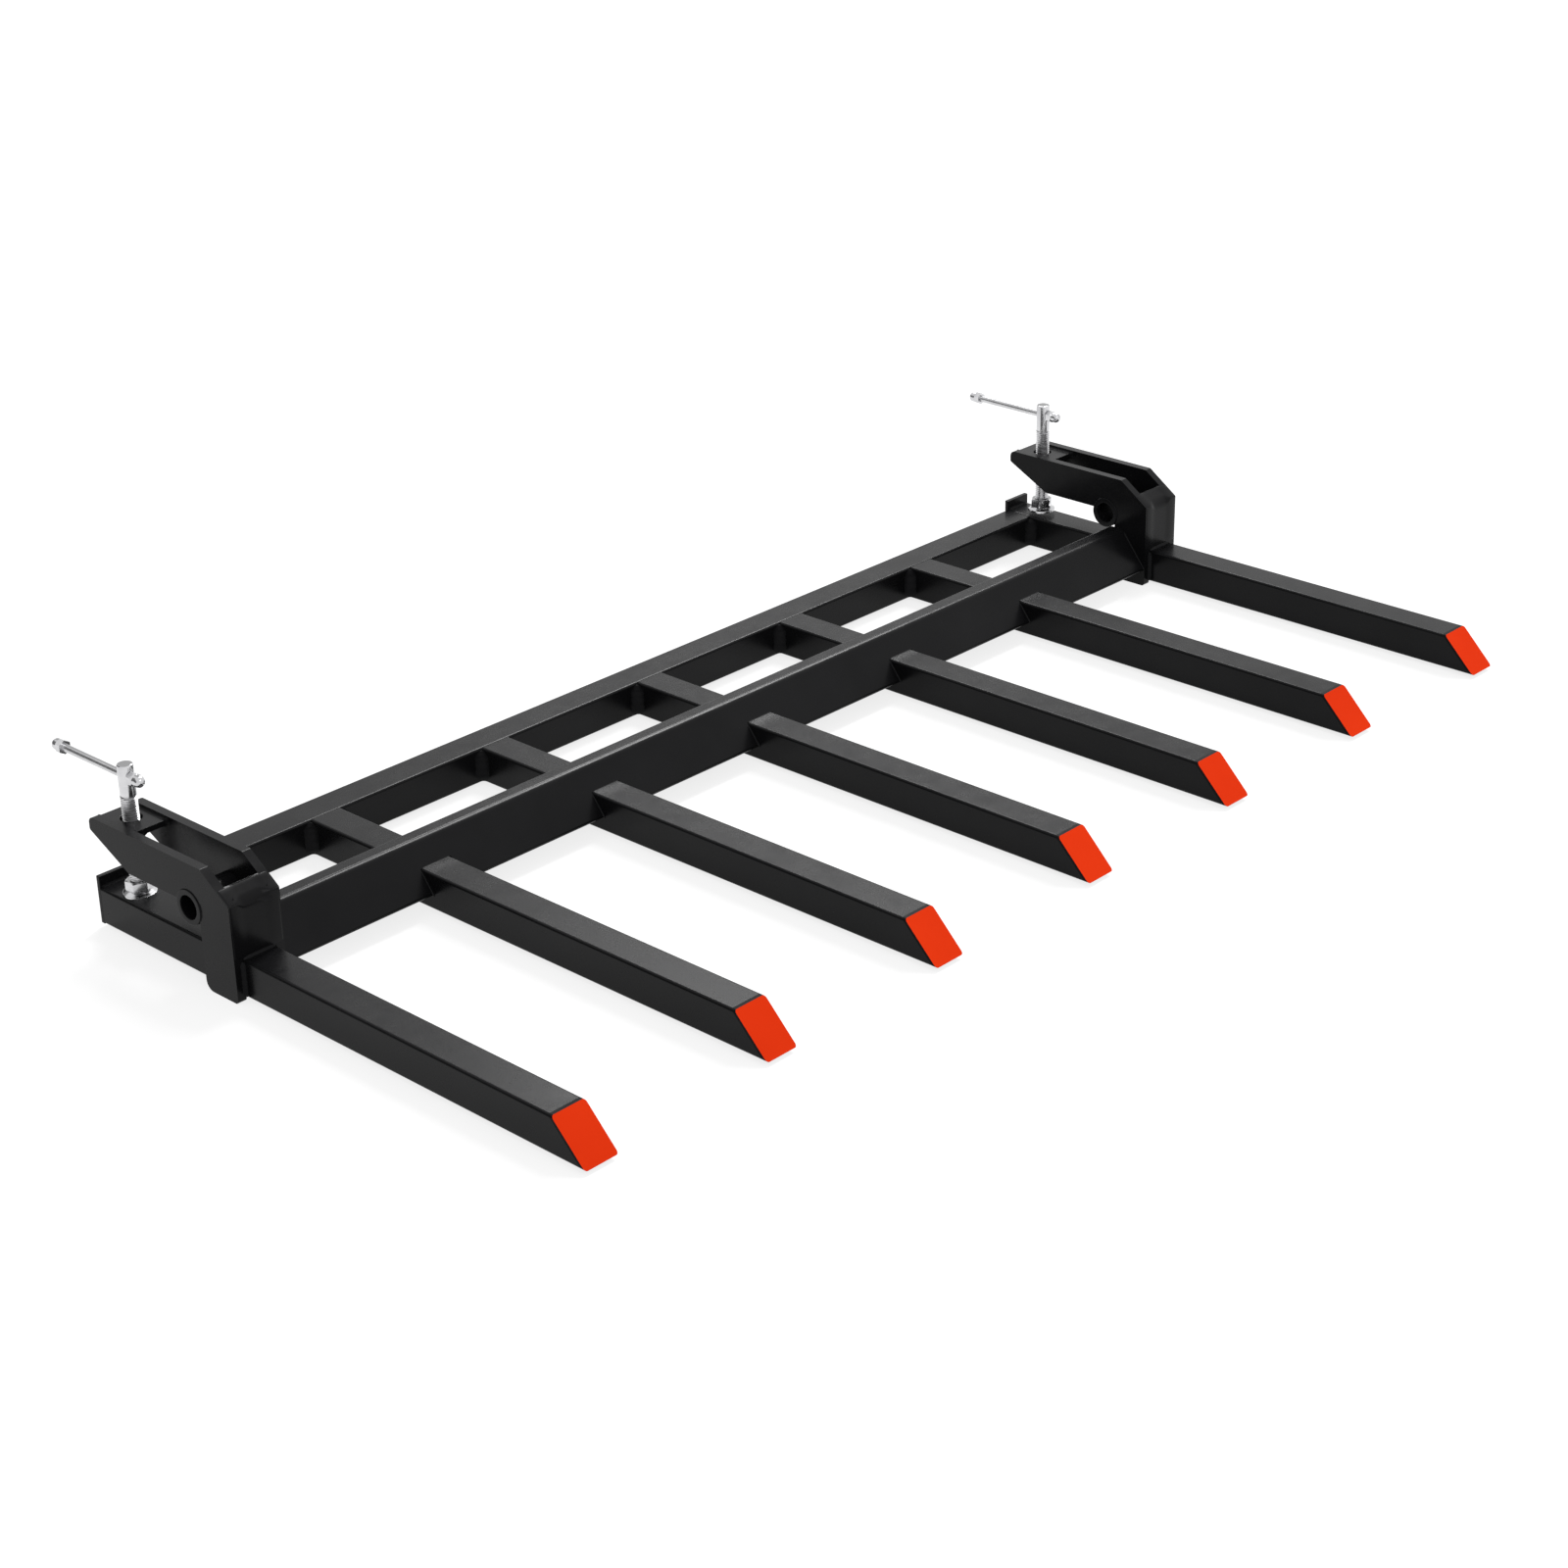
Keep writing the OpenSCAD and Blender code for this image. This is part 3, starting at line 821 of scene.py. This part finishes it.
# %% Lay the rail welds
bm = bmesh.new()
for node in MIDDLE_TINES:
    left, right = lowest(node).x, highest(node).x
    for x, out in ((left, LEFTWARD), (right, RIGHTWARD)):
        bead(bm, (x, RAIL_FRONT, BEAD_LOW), (x, RAIL_FRONT, BEAD_HIGH), out, FORWARD, REAR_LEG)
        bead(bm, (x, CROSS_BACK, CROSS_BEAD_LOW), (x, CROSS_BACK, BEAD_HIGH), out, BACKWARD, CROSS_LEG)
        bead(bm, on_slope(x, TINE_SIDE_LOW), on_slope(x, BEAD_HIGH), out, FORWARD, TINE_SIDE_LEG)
    left, right = left + EDGE_GAP, right - EDGE_GAP
    bead(bm, on_slope(left, TUBE_TOP), on_slope(right, TUBE_TOP), FORWARD, UP_SLOPE, TINE_TOP_LEG)
    bead(bm, (left, CROSS_BACK, TUBE_TOP), (right, CROSS_BACK, TUBE_TOP), BACKWARD, UPWARD, TINE_BACK_LEG)
for x, way in ((lowest("rear_rail").x, 1), (highest("rear_rail").x, -1)):
    inward = (way, 0, 0)
    bead(bm, (x, RAIL_FRONT, BEAD_LOW), (x, RAIL_FRONT, BEAD_HIGH), inward, FORWARD, REAR_LEG)
    start, end = (on_slope(x + way * CHEEK, z) for z in (RAIL_END_HIGH, RAIL_END_LOW))
    bead(bm, start, end, inward, FORWARD, RAIL_END_LEG)
finish_welds("rail_welds", bm)

# %% [markdown]
# On a clamp the closing plate is welded flush between the cheeks and the joints are dressed smooth.
# One thin skin does this: across the clamp it passes from a cheek's edge down onto the plate and up
# again, and along the clamp it follows the upright, the bend and the chamfer. Its underside and its
# rim lie inside the plates, so it is a closed body. At its two ends it sinks into them.

# %% Sizes of the dressed face, in millimetres
CHAMFER_HIGH, CHAMFER_LONG = 27.5, 40.0
CHAMFER = math.atan2(CHAMFER_HIGH, CHAMFER_LONG)
CLAMP_WIDE = 60.0
CHEEK_ROUND, PLATE_ROUND, PLATE_BACK = 3, 17, 0.5
SLOPE_LONG = 22
SKIN_DEEP, END_SUNK = 0.6, 0.3
UPRIGHT_SHARES, LOW_FADE = (0.0, 0.03, 0.07, 0.2, 0.4, 0.6, 0.8, 0.93), 0.06
SLOPE_SHARES, HIGH_FADE = (0.15, 0.4, 0.65, 0.85, 0.95, 1.0), 0.1
BEND_STEPS = 12
SECTION = (
    (0.9, 0.0, -0.35), (1.5, 0.0, 0.05), (3.0, 0.0, 0.16), (8.5, 0.0, 0.18), (11.0, 0.12, 0.14),
    (14.0, 0.50, 0.10), (17.0, 0.86, 0.06), (20.0, 1.0, 0.05), (30.0, 1.0, 0.05))
print("chamfer", round(math.degrees(CHAMFER), 1), "degrees above level")


# %% Stations up the clamp
def dressed_stations(front, low, corner_z):
    """Up the clamp: a point on the cheeks' edge, one on the plate, the way out, and the skin's share."""
    out_front, out_slope = Vector((0, -1, 0)), Vector((0, -math.sin(CHAMFER), math.cos(CHAMFER)))
    up_slope = Vector((0, math.cos(CHAMFER), math.sin(CHAMFER)))

    def centre(deep):
        return Vector((0, front + deep, corner_z - deep * (1 - math.sin(CHAMFER)) / math.cos(CHAMFER)))

    cheek_centre, plate_centre = centre(CHEEK_ROUND * mm), centre(PLATE_ROUND * mm + PLATE_BACK * mm)
    stations = []
    for t in UPRIGHT_SHARES:
        edge = Vector((0, front, low + (cheek_centre.z - low) * t))
        plate = Vector((0, front + PLATE_BACK * mm, low + (plate_centre.z - low) * t))
        stations.append((edge, plate, out_front, min(1.0, t / LOW_FADE)))
    for k in range(BEND_STEPS + 1):
        out = out_front.slerp(out_slope, k / BEND_STEPS)
        edge, plate = cheek_centre + out * CHEEK_ROUND * mm, plate_centre + out * PLATE_ROUND * mm
        stations.append((edge, plate, out, 1.0))
    end = Vector((0, front, corner_z)) + up_slope * SLOPE_LONG * mm
    for t in SLOPE_SHARES:
        high_edge = edge + up_slope * (end - edge).dot(up_slope) * t
        high_plate = plate + up_slope * (end - plate).dot(up_slope) * t
        stations.append((high_edge, high_plate, out_slope, min(1.0, (1.0 - t) / HIGH_FADE)))
    return stations


print("stations:", len(UPRIGHT_SHARES) + BEND_STEPS + 1 + len(SLOPE_SHARES))


# %% The dressed face of a clamp
def dressed_face(bm, middle, stations):
    """Section rows are (from the cheek's outer face, share of the plate's outline, height)."""
    mirrored = [(CLAMP_WIDE - across, share, rise) for across, share, rise in SECTION[-2::-1]]
    shown, hidden = [], []
    for edge, plate, out, full in stations:
        spots = []
        for across, share, rise in list(SECTION) + mirrored:
            level = ((rise + END_SUNK) * full - END_SUNK) * mm
            spot = edge.lerp(plate, share) + out * level
            spots.append(Vector((middle + (across - CLAMP_WIDE / 2) * mm, spot.y, spot.z)))
        shown.append([bm.verts.new(spot) for spot in spots])
        hidden.append([bm.verts.new(spot - out * SKIN_DEEP * mm) for spot in spots])
    for rows in (shown, hidden):
        for one, two in zip(rows, rows[1:]):
            for i in range(len(one) - 1):
                bm.faces.new((one[i], one[i + 1], two[i + 1], two[i]))
    last = len(shown[0]) - 1
    for i in (0, last):
        for k in range(len(shown) - 1):
            bm.faces.new((shown[k][i], shown[k + 1][i], hidden[k + 1][i], hidden[k][i]))
    for k in (0, len(shown) - 1):
        for i in range(last):
            bm.faces.new((shown[k][i], shown[k][i + 1], hidden[k][i + 1], hidden[k][i]))


print("points across the skin:", 2 * len(SECTION) - 1)

# %% [markdown]
# The rest of a clamp's welds: along the leg and the arm, round the screw plate, at the foot of the
# closing plate and the jaw stop, and part of the way round the sleeve.

# %% Sizes of the clamp welds
LEG_DEEP = 48 * mm
LEG_GAP_LOW, LEG_GAP_HIGH = 1 * mm, 2 * mm
ARM_GAP_FRONT, ARM_GAP_BACK = 2 * mm, 1 * mm
ARM_GAP_HIGH = 1.2 * mm
CLOSING_GAP, STOP_GAP = 1 * mm, 2 * mm
CHEEK_LEG = 4.0 * mm
SCREW_PLATE_TOP_LEG = 3.2 * mm
SCREW_PLATE_FRONT_LEG = 4.5 * mm
CLOSING_LEG = 3.0 * mm
STOP_LEG = 2.6 * mm
SLEEVE_LEG = 1.3 * mm
SLEEVE_DEGREES = range(150, 222, 6)
print("legs from", SLEEVE_LEG / mm, "to", SCREW_PLATE_FRONT_LEG / mm, "mm")


# %% Joints round a sleeve and across a tine
def sleeve_stations(sleeve, wall, outward):
    """Round the front of a sleeve, where it leaves a cheek."""
    low, high = lowest(sleeve), highest(sleeve)
    centre = Vector((wall, (low.y + high.y) / 2, (low.z + high.z) / 2))
    radius = (high.z - low.z) / 2
    stations = []
    for degrees in SLEEVE_DEGREES:
        radial = Vector((0, math.cos(math.radians(degrees)), math.sin(math.radians(degrees))))
        stations.append((centre + radial * radius, radial, outward))
    return stations


def across_tine(bm, middle, half, y, leg):
    """A bead on top of the tine, in front of a plate at y."""
    bead(bm, (middle - half, y, TUBE_TOP), (middle + half, y, TUBE_TOP), FORWARD, UPWARD, leg)


print("a sleeve's bead has", len(SLEEVE_DEGREES), "stations")

# %% Weld and dress both clamps
for side, tine in END_TINES.items():
    bm = bmesh.new()
    middle = (lowest(tine).x + highest(tine).x) / 2
    half = TUBE / 2
    cheek_low, cheek_high = lowest(f"{side}_outer_cheek"), highest(f"{side}_outer_cheek")
    front, leg_back = cheek_low.y, cheek_low.y + LEG_DEEP
    plate_low, plate_high = lowest(f"{side}_screw_plate"), highest(f"{side}_screw_plate")
    for way in (-1, 1):
        wall, out, inward = middle + way * half, (way, 0, 0), (-way, 0, 0)
        for y, ahead in ((front, FORWARD), (leg_back, BACKWARD)):
            start, end = ((wall, y, z) for z in (GROUND + LEG_GAP_LOW, TUBE_TOP - LEG_GAP_HIGH))
            bead(bm, start, end, out, ahead, CHEEK_LEG)
        start = (wall, plate_low.y + ARM_GAP_FRONT, plate_high.z)
        end = (wall, plate_high.y - ARM_GAP_BACK, plate_high.z)
        bead(bm, start, end, UPWARD, inward, SCREW_PLATE_TOP_LEG)
        start, end = ((wall, plate_low.y, z) for z in (plate_low.z, cheek_high.z - ARM_GAP_HIGH))
        bead(bm, start, end, inward, FORWARD, SCREW_PLATE_FRONT_LEG)
    across_tine(bm, middle, half - CLOSING_GAP, lowest(f"{side}_closing_plate").y, CLOSING_LEG)
    across_tine(bm, middle, half - STOP_GAP, lowest(f"{side}_jaw_stop").y, STOP_LEG)
    for way in (-1, 1):
        wall = middle + way * (half + CHEEK)
        fillet(bm, sleeve_stations(f"{side}_sleeve", wall, (way, 0, 0)), SLEEVE_LEG)
    finish_welds(f"{side}_clamp_welds", bm)

    bm = bmesh.new()
    dressed_face(bm, middle, dressed_stations(front, TUBE_TOP, cheek_high.z - CHAMFER_HIGH * mm))
    dressed = link_mesh(f"{side}_dressed_face", bm, black_coat, "frame")
    shade_by_angle(dressed, degrees=60)
    print(side, "dressed face:", len(dressed.data.polygons), "faces")

# %% The last line
bpy.context.scene.view_settings.view_transform = "Standard"
